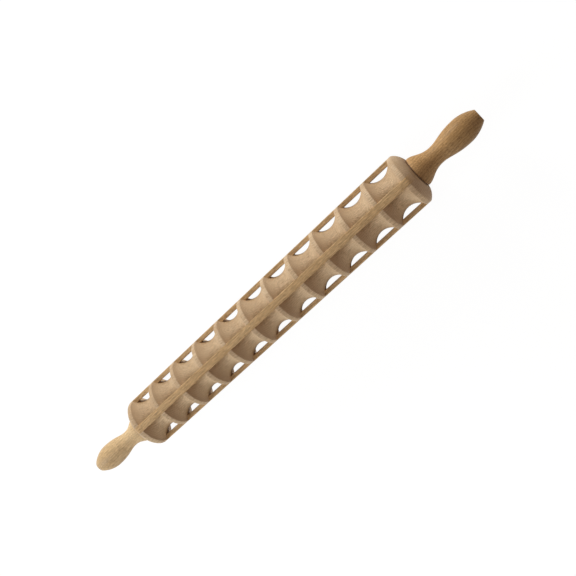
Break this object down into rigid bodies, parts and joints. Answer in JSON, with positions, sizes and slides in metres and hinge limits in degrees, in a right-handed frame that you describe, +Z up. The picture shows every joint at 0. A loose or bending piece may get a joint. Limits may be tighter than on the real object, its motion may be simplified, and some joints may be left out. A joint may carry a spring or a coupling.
{
  "type": "ravioli rolling pin",
  "caption": "Beech ravioli rolling pin: a turned spool with scooped grooves and flat slats let into its rims, turning on a steel axle between two turned handles.",
  "frame": {"origin": "centre of the roller, on the axle's axis", "axes": "+X along the axle towards the right handle, +Z up through the top slat, -Z through the slat it rests on"},
  "size_m": [0.5816, 0.06, 0.06],
  "materials": {
    "beech_core": "turned and sanded, unvarnished",
    "beech_slat": "planed, unvarnished",
    "beech_handle": "turned and sanded, unvarnished",
    "nylon": "moulded, beige",
    "steel": "drawn bar"
  },
  "bodies": {
    "handles": {"handle_left": "beech_handle", "handle_right": "beech_handle", "axle_rod": "steel"},
    "roller": {"roller_core": "beech_core", "slat_top": "beech_slat", "slat_front": "beech_slat", "slat_bottom": "beech_slat", "slat_back": "beech_slat", "bush_left": "nylon", "bush_right": "nylon"}
  },
  "joints": [
    {"name": "roller_spin", "type": "hinge", "parent": "handles", "child": "roller", "pos_m": [0, 0, 0], "axis": [1, 0, 0], "continuous": true}
  ]
}
